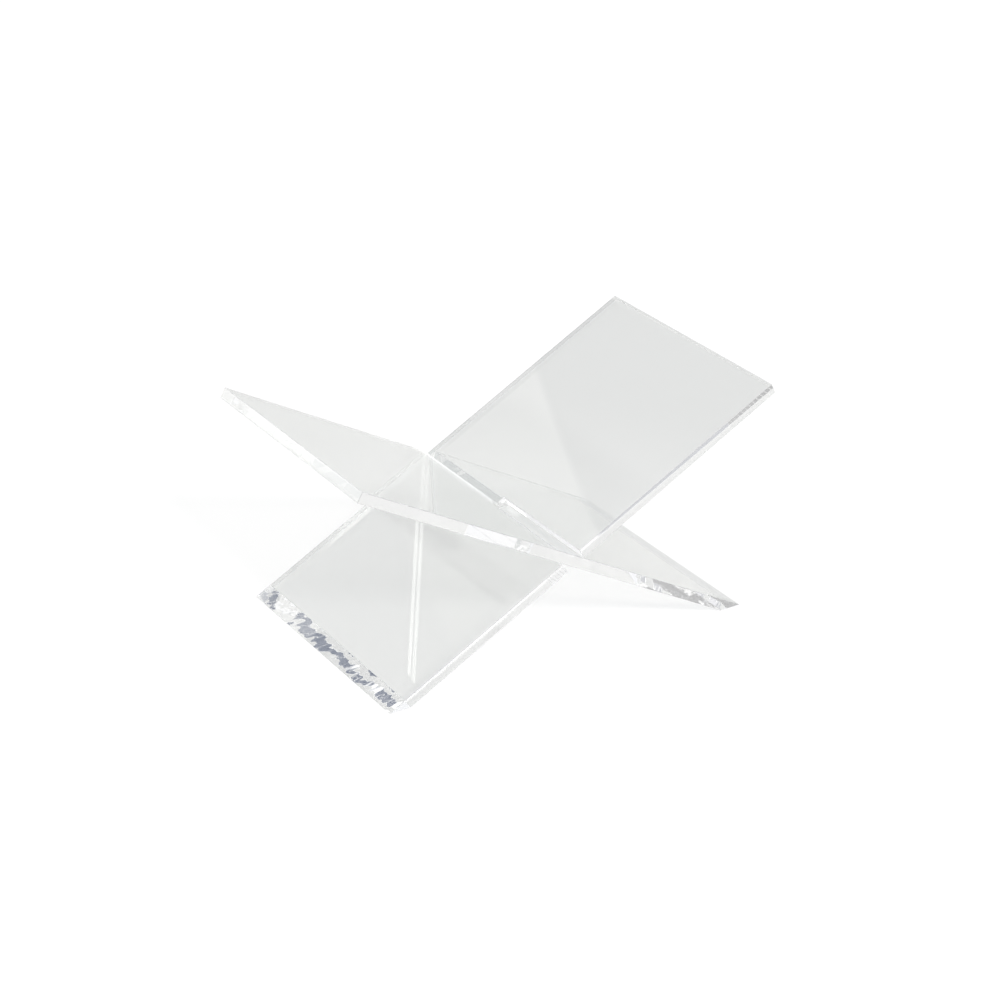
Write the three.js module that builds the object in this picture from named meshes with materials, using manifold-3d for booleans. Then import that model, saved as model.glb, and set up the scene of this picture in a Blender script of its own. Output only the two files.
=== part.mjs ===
// Bible stand: two identical clear acrylic panels, each slotted to half its
// depth, pushed together into a low X.  The upper wings cradle an open book and
// the lower legs stand on mitred feet.
//
// Frame: millimetres, +Z up, +X right, +Y back.  The origin is on the table,
// under the middle of the stand.

import * as THREE from 'three';
import * as BufferGeometryUtils from 'three/addons/utils/BufferGeometryUtils.js';
import Module from 'manifold-3d';

// ---------------------------------------------------------------- dimensions
const THICKNESS = 9.5;          // cast acrylic sheet, 3/8 in nominal
const DEPTH = 228.6;            // front to back, 9 in
const SLOPE_DEG = 28.75;        // each panel's slope to the table
const CROSSING_HEIGHT = 89.5;   // mid-plane crossing line, above the table
const WING_LENGTH = 224;        // crossing line to the square upper edge, up the slope
const CORNER_CLEARANCE = 0.3;   // slot wall's corner to the other panel's face
const SLOT_END_GAP = 0.3;       // between the two slot ends, where they meet

// ------------------------------------------------------------------- derived
const slope = THREE.MathUtils.degToRad(SLOPE_DEG);
const crossing = 2 * slope;     // angle between the two panels
const half = THICKNESS / 2;

// The other panel passes obliquely through the slot, so the slot is wider than
// the sheet is thick: at this width its diagonal corners just bear on it.
const bearingWidth = THICKNESS / Math.tan(crossing / 2);
const SLOT_WIDTH = bearingWidth + 2 * CORNER_CLEARANCE / Math.sin(crossing);

// Lower end, cut level with the table: u is measured along the slope from the
// crossing line, v along the panel's upward normal.
const footU = (v) => -(CROSSING_HEIGHT + v * Math.cos(slope)) / Math.sin(slope);

// ------------------------------------------------------------- solid modelling
const wasm = await Module();
wasm.setup();

function toSolid(geometry) {
  const g = geometry.index ? geometry.toNonIndexed() : geometry.clone();
  g.deleteAttribute('normal');
  g.deleteAttribute('uv');
  const merged = BufferGeometryUtils.mergeVertices(g, 1e-4);
  return new wasm.Manifold(new wasm.Mesh({
    numProp: 3,
    vertProperties: new Float32Array(merged.attributes.position.array),
    triVerts: new Uint32Array(merged.index.array),
  }));
}

function toGeometry(solid) {
  const m = solid.getMesh();
  const g = new THREE.BufferGeometry();
  g.setAttribute('position', new THREE.BufferAttribute(new Float32Array(m.vertProperties), 3));
  g.setIndex(new THREE.BufferAttribute(new Uint32Array(m.triVerts), 1));
  g.computeVertexNormals();
  return g;
}

// One slotted panel in its own frame: X up the slope, Y to the stand's back,
// Z out of the upper face, origin at the middle of the crossing.
function panelGeometry() {
  const profile = new THREE.Shape();
  profile.moveTo(footU(half), half);
  profile.lineTo(footU(-half), -half);
  profile.lineTo(WING_LENGTH, -half);
  profile.lineTo(WING_LENGTH, half);
  profile.closePath();
  const sheet = new THREE.ExtrudeGeometry(profile, { depth: DEPTH, bevelEnabled: false });
  sheet.rotateX(Math.PI / 2);               // extrusion now runs along -Y
  sheet.translate(0, DEPTH / 2, 0);

  // half-depth slot, square to the faces, open at the front edge
  const slotLength = DEPTH / 2 + SLOT_END_GAP / 2;
  const overrun = 5;
  const slot = new THREE.BoxGeometry(SLOT_WIDTH, slotLength + overrun, THICKNESS + 2 * overrun);
  slot.translate(0, SLOT_END_GAP / 2 - (slotLength + overrun) / 2, 0);

  return toGeometry(toSolid(sheet).subtract(toSolid(slot)));
}

// ------------------------------------------------------------------ materials
const clearAcrylic = () => new THREE.MeshStandardMaterial({
  color: 0xe6ebea, roughness: 0.04, metalness: 0.0, transparent: true, opacity: 0.4,
});

// ------------------------------------------------------------------- assembly
const stand = new THREE.Group();
stand.name = 'bible_stand';

// This panel's wing is on the right and its foot on the left; its slot opens
// at the front.
const rightWingPanel = new THREE.Mesh(panelGeometry(), clearAcrylic());
rightWingPanel.name = 'right_wing_panel';
rightWingPanel.rotation.y = -slope;
rightWingPanel.position.z = CROSSING_HEIGHT;
stand.add(rightWingPanel);

// The same panel turned half round: wing on the left, foot on the right, slot
// open at the back.
const turned = new THREE.Group();
turned.rotation.z = Math.PI;
const leftWingPanel = new THREE.Mesh(panelGeometry(), clearAcrylic());
leftWingPanel.name = 'left_wing_panel';
leftWingPanel.rotation.y = -slope;
leftWingPanel.position.z = CROSSING_HEIGHT;
turned.add(leftWingPanel);
stand.add(turned);

export default stand;
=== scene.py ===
"""The looks of the clear acrylic bible stand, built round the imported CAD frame."""
import math

import bmesh
import bpy
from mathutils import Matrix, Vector


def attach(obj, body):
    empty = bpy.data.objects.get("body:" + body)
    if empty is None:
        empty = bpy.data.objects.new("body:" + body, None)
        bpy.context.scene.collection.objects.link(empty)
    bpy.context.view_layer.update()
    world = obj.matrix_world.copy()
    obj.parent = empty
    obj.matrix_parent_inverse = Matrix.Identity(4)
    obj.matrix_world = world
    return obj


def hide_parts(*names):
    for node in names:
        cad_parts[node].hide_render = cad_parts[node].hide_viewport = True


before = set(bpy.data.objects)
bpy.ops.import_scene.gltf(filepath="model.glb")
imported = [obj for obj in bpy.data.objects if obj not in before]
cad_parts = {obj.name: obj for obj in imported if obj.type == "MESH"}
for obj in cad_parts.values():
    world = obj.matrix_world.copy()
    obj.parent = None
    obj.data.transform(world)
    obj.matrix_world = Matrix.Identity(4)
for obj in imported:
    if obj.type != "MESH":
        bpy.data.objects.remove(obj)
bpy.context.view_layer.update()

SCENE = bpy.context.scene

# ------------------------------------------------------------------ camera
CAM_AZ, CAM_EL, CAM_ROLL = -32.4609, 26.3620, 0.4636      # degrees
CAM_POS = Vector((-1.06252, -1.67303, 1.07855))
CAM_LENS = 94.670                                          # mm on a 36 mm sensor


def make_camera():
    data = bpy.data.cameras.new("camera")
    data.sensor_fit = "HORIZONTAL"
    data.sensor_width = 36.0
    data.lens = CAM_LENS
    data.clip_start, data.clip_end = 0.05, 60.0
    data.dof.use_dof = False
    cam = bpy.data.objects.new("camera", data)
    SCENE.collection.objects.link(cam)
    a, e, r = (math.radians(v) for v in (CAM_AZ, CAM_EL, CAM_ROLL))
    back = Vector((math.sin(a) * math.cos(e), -math.cos(a) * math.cos(e), math.sin(e)))
    x = Vector((0, 0, 1)).cross(back).normalized()
    y = back.cross(x)
    x2 = math.cos(r) * x + math.sin(r) * y
    y2 = -math.sin(r) * x + math.cos(r) * y
    m = cam.matrix_world.copy()
    m.identity()
    for row in range(3):
        m[row][0], m[row][1], m[row][2], m[row][3] = x2[row], y2[row], back[row], CAM_POS[row]
    cam.matrix_world = m
    SCENE.camera = cam


make_camera()

# ----------------------------------------------------------- studio's values
FLOOR_NEAR = (0.525, 0.526, 0.521)      # the floor as the acrylic shows it, close by, painted lighter: a painted pool of light
FLOOR_FAR = (0.480, 0.482, 0.477)       # and further off, painted darker
FLOOR_SEEN = (0.625, 0.625, 0.625)      # the floor as seen straight, exposed to white
FLOOR_EDGE = (0.495, 0.497, 0.493)      # the far floor that low reflections show, painted a little lighter again: painted light
KEY_AZ, KEY_EL, KEY_SIZE, KEY_POWER = -172.0, 40.0, 9.0, 3.7
ROOM = (1.00, 0.99, 0.98)
PATCHES = [
    # bearing     height     soft lean  colour
    (-180, 180, 60, 100, 8.0, 0.0, (0.80, 0.80, 0.81)),     # ceiling
    (-135, -80, -5, 62, 8.0, 0.0, (0.97, 0.96, 0.93)),      # left wall
    (-80, -36, -5, 62, 5.0, 0.0, (0.30, 0.30, 0.31)),       # dark room behind on the left
    (-38, 30, 35, 62, 3.0, 0.0, (0.80, 0.80, 0.84)),        # wall above the backdrop
    (42.0, 49.5, 36, 45, 0.35, -1.37, (0.98, 0.98, 0.99)),   # lit strip of it
    (49.5, 64.0, 36, 45, 0.35, -1.37, (0.48, 0.49, 0.53)),   # dark opening beside the strip
    (-46, 62, -5, 36, 3.0, 0.5, (0.92, 0.93, 0.96)),        # white backdrop
    (-44, -20, -5, 12, 3.0, 0.5, (1.60, 1.60, 1.60)),       # its bright foot
    (-27, 0, 25, 35, 3.0, 0.0, (1.45, 1.45, 1.45)),         # light on its top
    (10, 20, 36, 40, 2.0, 0.0, (0.58, 0.60, 0.60)),
    (122, 162, -5, 31, 5.0, 0.0, (0.66, 0.68, 0.68)),       # right front corner
    (122, 164, 34, 78, 4.0, 0.0, (1.20, 1.20, 1.18)),       # white above it
    (162, 190, -5, 60, 4.0, 0.0, (1.40, 1.40, 1.40)),       # front wall
    (-172, -136, -5, 56, 4.0, 0.0, (1.70, 1.68, 1.65)),     # key's big reflector
    (174, 188, 34, 42, 1.0, 0.0, (0.15, 0.18, 0.26)),       # dark gap beside it
    (-171.7, -163.5, 37.0, 41.5, 0.4, 0.0, (5.0, 5.0, 4.9)),     # key's bright middle
]

# ------------------------------------------------------------- panel frames
SLOPE = math.radians(28.75)
BREAK = 0.00025          # the broken corner along every cut edge


def axes(sign):
    """A panel's own axes: up its slope, along its depth, out of its upper face."""
    return (
        Vector((sign * math.cos(SLOPE), 0, math.sin(SLOPE))),
        Vector((0, 1, 0)),
        Vector((-sign * math.sin(SLOPE), 0, math.cos(SLOPE))),
    )


FACE, EDGE, BACK, FOOT, END, SLOT, CORNER = range(7)


def panel_piece(node, body, name, sign, materials):
    """The panel as cut from sheet: the CAD solid with its corners broken, its surfaces sorted by how each was made,
    with the back edges kept apart for their painted shade, and a map in metres along each cut.
    """
    up, along, out = axes(sign)
    bm = bmesh.new()
    bm.from_mesh(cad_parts[node].data)
    bmesh.ops.remove_doubles(bm, verts=bm.verts[:], dist=2e-6)
    bmesh.ops.dissolve_limit(
        bm, angle_limit=math.radians(0.5), use_dissolve_boundaries=False,
        verts=bm.verts[:], edges=bm.edges[:],
    )
    bm.normal_update()
    outer = [e for e in bm.edges if len(e.link_faces) == 2 and e.is_convex and e.calc_face_angle() > 0.2]
    bmesh.ops.bevel(
        bm, geom=outer, offset=BREAK, offset_type="OFFSET", segments=2, profile=0.5,
        affect="EDGES", clamp_overlap=True, loop_slide=False,
    )
    bm.normal_update()
    top = max(v.co.dot(up) for v in bm.verts)
    uv = bm.loops.layers.uv.new("cut")
    for f in bm.faces:
        n = f.normal
        if abs(n.dot(out)) > 0.999:
            f.material_index = FACE
            a, b = up, along
        elif n.z < -0.999:
            f.material_index = FOOT
            a, b = along, Vector((1, 0, 0))
        elif abs(n.dot(up)) > 0.999:
            at_end = f.calc_center_median().dot(up) > top - 0.001
            f.material_index = END if at_end else SLOT
            a, b = along, out
        else:
            # Back edges get a material of their own, which carries painted shade.
            f.material_index = BACK if n.y > 0.999 else EDGE if n.y < -0.999 else CORNER
            a, b = (up, out) if abs(n.y) > 0.7 else (along, out)
        f.smooth = False
        for loop in f.loops:
            loop[uv].uv = (loop.vert.co.dot(a), loop.vert.co.dot(b))
    me = bpy.data.meshes.new(name)
    bm.to_mesh(me)
    bm.free()
    for m in materials:
        me.materials.append(m)
    piece = bpy.data.objects.new(name, me)
    SCENE.collection.objects.link(piece)
    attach(piece, body)
    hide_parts(node)
    return piece


# ---------------------------------------------------------------- materials
def node(nt, kind, x, y, **values):
    n = nt.nodes.new(kind)
    n.location = (x, y)
    for k, v in values.items():
        if k in n.inputs:
            n.inputs[k].default_value = v
        else:
            setattr(n, k, v)
    return n


def acrylic(name, waves=(), haze=0.0, tint=(0.985, 0.992, 0.988), shade=(0.955, 0.958, 0.956), painted_shade_share=0.0, satin=0.0):
    """Clear cast acrylic: a dielectric that bends light, with lamps let through so that its shadow stays light. waves
    are the tool's marks, each (metres along, metres across, height in metres, detail, seed). haze is the share of light
    a cut that was only flame polished scatters, satin the share that its outside reflects like frost; the share lost to
    a black diffuse is painted shade.
    """
    mat = bpy.data.materials.new(name)
    mat.use_nodes = True
    nt = mat.node_tree
    nt.nodes.clear()
    outn = node(nt, "ShaderNodeOutputMaterial", 1100, 0)
    glass = node(nt, "ShaderNodeBsdfPrincipled", 300, 0)
    glass.inputs["Base Color"].default_value = (*tint, 1)
    glass.inputs["Roughness"].default_value = 0.0
    glass.inputs["IOR"].default_value = 1.49
    glass.inputs["Transmission Weight"].default_value = 1.0
    path = node(nt, "ShaderNodeLightPath", 300, 500)
    clear = node(nt, "ShaderNodeBsdfTransparent", 300, 150)
    slant = node(nt, "ShaderNodeLayerWeight", -300, 200)
    slant.inputs["Blend"].default_value = 0.5
    fifth = node(nt, "ShaderNodeMath", -100, 200, operation="POWER")
    fifth.inputs[1].default_value = 5.0
    nt.links.new(slant.outputs["Facing"], fifth.inputs[0])
    veil = node(nt, "ShaderNodeMix", 100, 200, data_type="RGBA")
    veil.inputs[6].default_value = (*shade, 1)
    veil.inputs[7].default_value = (0, 0, 0, 1)
    nt.links.new(fifth.outputs[0], veil.inputs["Factor"])
    nt.links.new(veil.outputs[2], clear.inputs["Color"])
    soft = node(nt, "ShaderNodeBsdfTransparent", 300, 0)        # the room's own light is dimmed less
    soft.inputs["Color"].default_value = (*(v ** 0.35 for v in shade), 1)
    body = glass
    if haze:
        near = node(nt, "ShaderNodeBsdfDiffuse", 150, -500, Color=(0.95, 0.95, 0.97, 1))
        far = node(nt, "ShaderNodeBsdfTranslucent", 150, -650, Color=(0.95, 0.95, 0.97, 1))
        both = node(nt, "ShaderNodeMixShader", 350, -550)
        nt.links.new(near.outputs[0], both.inputs[1])
        nt.links.new(far.outputs[0], both.inputs[2])
        body = node(nt, "ShaderNodeMixShader", 520, -200)
        body.inputs[0].default_value = haze
        nt.links.new(glass.outputs[0], body.inputs[1])
        nt.links.new(both.outputs[0], body.inputs[2])
    # Painted shade: this share of black darkens the cut.
    if painted_shade_share:
        lost = node(nt, "ShaderNodeBsdfDiffuse", 350, -400, Color=(0.0, 0.0, 0.0, 1))
        body = node(nt, "ShaderNodeMixShader", 520, -350)
        body.inputs[0].default_value = painted_shade_share
        nt.links.new(glass.outputs[0], body.inputs[1])
        nt.links.new(lost.outputs[0], body.inputs[2])
    if satin:
        frost = node(nt, "ShaderNodeBsdfDiffuse", 350, -700, Color=(0.96, 0.96, 0.945, 1))
        side = node(nt, "ShaderNodeNewGeometry", 0, -800)
        share = node(nt, "ShaderNodeMath", 200, -800, operation="MULTIPLY_ADD")
        nt.links.new(side.outputs["Backfacing"], share.inputs[0])
        share.inputs[1].default_value = -satin
        share.inputs[2].default_value = satin
        body = node(nt, "ShaderNodeMixShader", 520, -600)
        nt.links.new(share.outputs[0], body.inputs[0])
        nt.links.new(glass.outputs[0], body.inputs[1])
        nt.links.new(frost.outputs[0], body.inputs[2])
    inner = node(nt, "ShaderNodeMixShader", 650, 50)
    nt.links.new(path.outputs["Is Diffuse Ray"], inner.inputs[0])
    nt.links.new(body.outputs[0], inner.inputs[1])
    nt.links.new(soft.outputs[0], inner.inputs[2])
    outer = node(nt, "ShaderNodeMixShader", 880, 100)
    nt.links.new(path.outputs["Is Shadow Ray"], outer.inputs[0])
    nt.links.new(inner.outputs[0], outer.inputs[1])
    nt.links.new(clear.outputs[0], outer.inputs[2])
    nt.links.new(outer.outputs[0], outn.inputs["Surface"])
    if waves:
        uv = node(nt, "ShaderNodeUVMap", -1100, -250)
        uv.uv_map = "cut"
        total = None
        for i, (lu, lv, height, detail, seed) in enumerate(waves):
            place = node(nt, "ShaderNodeMapping", -880, -250 * (i + 1))
            place.inputs["Scale"].default_value = (1 / lu, 1 / lv, 1)
            place.inputs["Location"].default_value = (seed, seed * 1.7, 0)
            nt.links.new(uv.outputs[0], place.inputs["Vector"])
            noise = node(nt, "ShaderNodeTexNoise", -660, -250 * (i + 1))
            noise.noise_dimensions = "2D"
            noise.inputs["Scale"].default_value = 1.0
            noise.inputs["Detail"].default_value = detail
            noise.inputs["Roughness"].default_value = 0.5
            nt.links.new(place.outputs[0], noise.inputs["Vector"])
            tall = node(nt, "ShaderNodeMath", -440, -250 * (i + 1), operation="MULTIPLY")
            tall.inputs[1].default_value = height
            nt.links.new(noise.outputs[0], tall.inputs[0])
            if total is None:
                total = tall.outputs[0]
            else:
                both = node(nt, "ShaderNodeMath", -220, -250 * i, operation="ADD")
                nt.links.new(total, both.inputs[0])
                nt.links.new(tall.outputs[0], both.inputs[1])
                total = both.outputs[0]
        bump = node(nt, "ShaderNodeBump", 60, -300)
        bump.inputs["Strength"].default_value = 1.0
        bump.inputs["Distance"].default_value = 1.0
        nt.links.new(total, bump.inputs["Height"])
        nt.links.new(bump.outputs[0], glass.inputs["Normal"])
    return mat


# Each cut surface as its tool left it: faces as cast, long edges machined and polished, feet
# milled in scallops with fine cutter marks, ends and slots sawn or routed and barely polished.
CUT_SHADE = (0.80, 0.81, 0.82)      # an edge turns some light away from what is behind it
SLOT_SHADE = (0.15, 0.15, 0.16)
CUT_TINT = (0.955, 0.958, 0.964)    # the colour of a long way through the sheet
MATS = [
    acrylic("acrylic_face"),
    acrylic("acrylic_edge", tint=CUT_TINT, shade=CUT_SHADE, satin=0.13),
    # The back edges, which face away from the key, lose a share to black: painted shade.
    acrylic("acrylic_back_edge", tint=CUT_TINT, shade=CUT_SHADE, painted_shade_share=0.09),
    acrylic("acrylic_foot", waves=[(0.027, 0.060, 2.5e-4, 0.0, 1.7), (0.0060, 0.012, 3.5e-5, 0.0, 6.2), (0.0012, 0.050, 1.5e-6, 0.0, 3.1)], shade=CUT_SHADE),
    acrylic("acrylic_end", waves=[(0.014, 0.050, 3.0e-5, 1.0, 4.4), (0.0025, 0.010, 3.0e-6, 1.0, 2.6)], shade=CUT_SHADE, satin=0.25),
    acrylic("acrylic_slot", waves=[(0.030, 0.030, 2.0e-6, 1.0, 7.7)], haze=0.45, shade=SLOT_SHADE),
    acrylic("acrylic_broken_corner", shade=CUT_SHADE),
]
RIGHT = panel_piece("right_wing_panel", "right_wing_panel", "right_wing_sheet", 1, MATS)
MATS[SLOT] = acrylic("acrylic_rear_slot", waves=[(0.030, 0.030, 2.0e-6, 1.0, 2.3)], shade=SLOT_SHADE)
LEFT = panel_piece("left_wing_panel", "left_wing_panel", "left_wing_sheet", -1, MATS)

# ------------------------------------------------------------------- studio
def math_node(nt, operation, *values, clamp=False):
    n = nt.nodes.new("ShaderNodeMath")
    n.operation = operation
    n.use_clamp = clamp
    for i, v in enumerate(values):
        if isinstance(v, (int, float)):
            n.inputs[i].default_value = v
        else:
            nt.links.new(v, n.inputs[i])
    return n.outputs[0]


S = 14.0
floor_mesh = bpy.data.meshes.new("floor")
floor_mesh.from_pydata([(-S, -S, 0), (S, -S, 0), (S, S, 0), (-S, S, 0)], [], [(0, 1, 2, 3)])
FLOOR = bpy.data.objects.new("floor", floor_mesh)
FLOOR.location.z = -0.0002
SCENE.collection.objects.link(FLOOR)
fm = bpy.data.materials.new("floor")
fm.use_nodes = True
ft = fm.node_tree
ft.nodes.clear()
f_out = node(ft, "ShaderNodeOutputMaterial", 400, 0)
f_diff = node(ft, "ShaderNodeBsdfDiffuse", 200, 0)
f_path = node(ft, "ShaderNodeLightPath", -200, 0)
f_col = node(ft, "ShaderNodeMix", 0, 0, data_type="RGBA")
ft.links.new(f_path.outputs["Is Camera Ray"], f_col.inputs["Factor"])
# The floor for all but camera rays is painted by distance from the stand: lighter close round it, a painted pool of
# light, darker further off, and a little lighter again past 0.9 m.
f_pos = node(ft, "ShaderNodeNewGeometry", -900, -200)
f_len = node(ft, "ShaderNodeVectorMath", -700, -200, operation="LENGTH")
ft.links.new(f_pos.outputs["Position"], f_len.inputs[0])
f_out_to = node(ft, "ShaderNodeMapRange", -500, -200, interpolation_type="SMOOTHSTEP")
f_out_to.inputs["From Min"].default_value = 0.15
f_out_to.inputs["From Max"].default_value = 0.45
ft.links.new(f_len.outputs["Value"], f_out_to.inputs["Value"])
f_glass = node(ft, "ShaderNodeMix", -200, -200, data_type="RGBA")
f_glass.inputs[6].default_value = (*FLOOR_NEAR, 1)
f_glass.inputs[7].default_value = (*FLOOR_FAR, 1)
ft.links.new(f_out_to.outputs[0], f_glass.inputs["Factor"])
f_far_to = node(ft, "ShaderNodeMapRange", -500, -500, interpolation_type="SMOOTHSTEP")
f_far_to.inputs["From Min"].default_value = 0.72
f_far_to.inputs["From Max"].default_value = 0.90
ft.links.new(f_len.outputs["Value"], f_far_to.inputs["Value"])
f_all = node(ft, "ShaderNodeMix", -100, -400, data_type="RGBA")
ft.links.new(f_far_to.outputs[0], f_all.inputs["Factor"])
ft.links.new(f_glass.outputs[2], f_all.inputs[6])
f_all.inputs[7].default_value = (*FLOOR_EDGE, 1)
ft.links.new(f_all.outputs[2], f_col.inputs[6])
f_col.inputs[7].default_value = (*FLOOR_SEEN, 1)
ft.links.new(f_col.outputs[2], f_diff.inputs["Color"])
ft.links.new(f_diff.outputs[0], f_out.inputs["Surface"])
floor_mesh.materials.append(fm)

# The key light: a softbox in front and to the left, high.
sun = bpy.data.lights.new("key", "SUN")
sun.energy = KEY_POWER
sun.angle = math.radians(KEY_SIZE)
key = bpy.data.objects.new("key", sun)
SCENE.collection.objects.link(key)
ka, ke = math.radians(KEY_AZ), math.radians(KEY_EL)
toward = Vector((math.sin(ka) * math.cos(ke), math.cos(ka) * math.cos(ke), math.sin(ke)))
key.rotation_mode = "QUATERNION"
key.rotation_quaternion = toward.to_track_quat("Z", "Y")
key.visible_glossy = False
key.visible_transmission = False

# The room round it, by compass bearing (0 = behind the stand) and height in degrees:
# each patch is (bearing from, to, height from, to, soft edge, colour), later over earlier.
world = bpy.data.worlds.new("studio")
SCENE.world = world
world.use_nodes = True
wt = world.node_tree
wt.nodes.clear()
w_out = node(wt, "ShaderNodeOutputWorld", 3200, 0)
w_bg = node(wt, "ShaderNodeBackground", 3000, 0)
w_geo = node(wt, "ShaderNodeTexCoord", -1000, 0)
w_xyz = node(wt, "ShaderNodeSeparateXYZ", -800, 0)
wt.links.new(w_geo.outputs["Generated"], w_xyz.inputs[0])
deg = 180 / math.pi
bearing = math_node(wt, "MULTIPLY", math_node(wt, "ARCTAN2", w_xyz.outputs["X"], w_xyz.outputs["Y"]), deg)
height = math_node(wt, "MULTIPLY", math_node(wt, "ARCSINE", w_xyz.outputs["Z"]), deg)


def window(value, lo, hi, soft):
    """1 between lo and hi, with edges soft degrees wide."""
    rise = math_node(wt, "MULTIPLY_ADD", value, 1 / soft, 0.5 - lo / soft, clamp=True)
    fall = math_node(wt, "MULTIPLY_ADD", value, -1 / soft, 0.5 + hi / soft, clamp=True)
    return math_node(wt, "MULTIPLY", rise, fall)


def paint(colour, patch):
    """One patch of the room painted over the rest."""
    a0, a1, e0, e1, soft, lean, rgb = patch
    mid, half = (a0 + a1) / 2, (a1 - a0) / 2
    from_mid = math_node(wt, "SUBTRACT", math_node(wt, "FLOORED_MODULO", math_node(wt, "ADD", bearing, 180.0 - mid), 360.0), 180.0)
    if lean:
        from_mid = math_node(wt, "MULTIPLY_ADD", height, -lean, from_mid)
    mask = math_node(wt, "MULTIPLY", window(from_mid, -half, half, soft), window(height, e0, e1, soft))
    mix = wt.nodes.new("ShaderNodeMix")
    mix.data_type = "RGBA"
    wt.links.new(mask, mix.inputs["Factor"])
    if colour is None:
        mix.inputs[6].default_value = (*ROOM, 1)
    else:
        wt.links.new(colour, mix.inputs[6])
    mix.inputs[7].default_value = (*rgb, 1)
    return mix.outputs[2]


room = None
for patch in PATCHES:
    room = paint(room, patch)
w_path = node(wt, "ShaderNodeLightPath", 2400, 300)
w_seen = node(wt, "ShaderNodeMix", 2800, 0, data_type="RGBA")
wt.links.new(w_path.outputs["Is Camera Ray"], w_seen.inputs["Factor"])
wt.links.new(room, w_seen.inputs[6])
w_seen.inputs[7].default_value = (1, 1, 1, 1)
wt.links.new(w_seen.outputs[2], w_bg.inputs["Color"])
wt.links.new(w_bg.outputs[0], w_out.inputs["Surface"])

SCENE.view_settings.view_transform = "Standard"
SCENE.view_settings.look = "None"
c = SCENE.cycles
c.max_bounces = 160
c.transmission_bounces = 160
c.glossy_bounces = 160
c.diffuse_bounces = 4
c.transparent_max_bounces = 32
c.caustics_reflective = False
c.caustics_refractive = False
